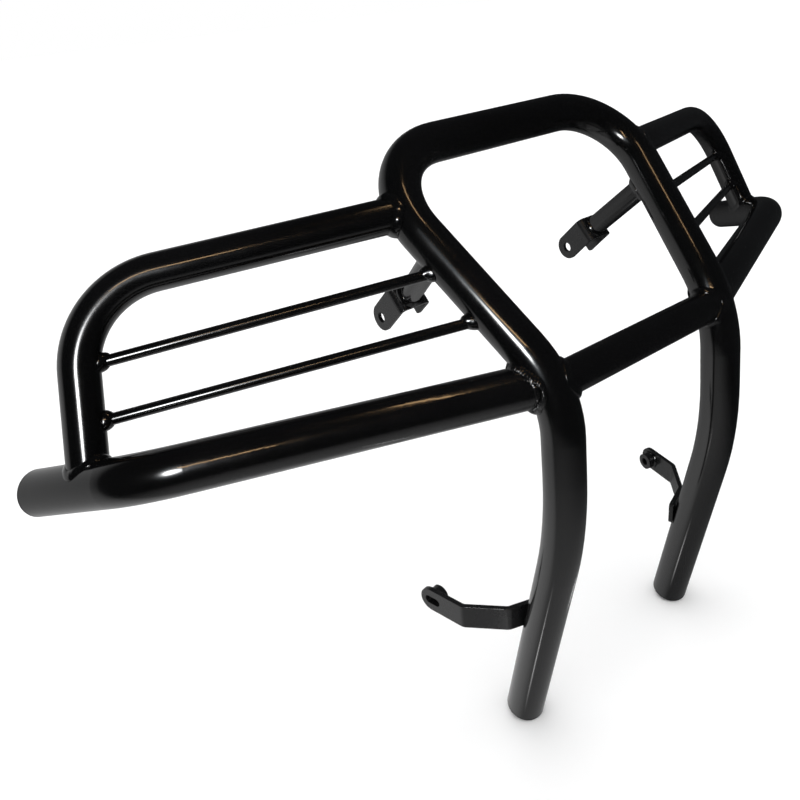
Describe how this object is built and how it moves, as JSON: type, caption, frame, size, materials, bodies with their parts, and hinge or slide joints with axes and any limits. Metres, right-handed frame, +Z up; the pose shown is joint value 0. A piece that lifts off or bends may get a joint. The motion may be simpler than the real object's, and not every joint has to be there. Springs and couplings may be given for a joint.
{
  "type": "front grille guard",
  "caption": "Bent round-tube front guard: a centre hoop with two legs, swept side rails, headlight loops with thin rods, and small bolt-on brackets.",
  "frame": {"origin": "on the ground plane through the leg ends, under the middle of the bounding box", "axes": "+Z up, the guard's front faces -Y and its brackets reach towards +Y, X across the vehicle with +X on the driver's left"},
  "size_m": [0.9776, 0.2628, 0.5944],
  "materials": {
    "tube_coat": "gloss black powder coat on steel tube",
    "bracket_coat": "semi-gloss black powder coat on flat steel bar",
    "plug_plastic": "moulded black plastic"
  },
  "bodies": {
    "root": {"center_hoop": "tube_coat", "cross_member": "tube_coat", "side_rail_left": "tube_coat", "headlight_loop_left": "tube_coat", "guard_rod_upper_left": "tube_coat", "guard_rod_lower_left": "tube_coat", "stay_tube_left": "tube_coat", "stay_bracket_left": "bracket_coat", "lower_strap_left": "bracket_coat", "strap_boss_left": "bracket_coat", "rail_end_plug_left": "plug_plastic", "leg_end_plug_left": "plug_plastic", "side_rail_right": "tube_coat", "headlight_loop_right": "tube_coat", "guard_rod_upper_right": "tube_coat", "guard_rod_lower_right": "tube_coat", "stay_tube_right": "tube_coat", "stay_bracket_right": "bracket_coat", "lower_strap_right": "bracket_coat", "strap_boss_right": "bracket_coat", "rail_end_plug_right": "plug_plastic", "leg_end_plug_right": "plug_plastic"}
  },
  "joints": []
}
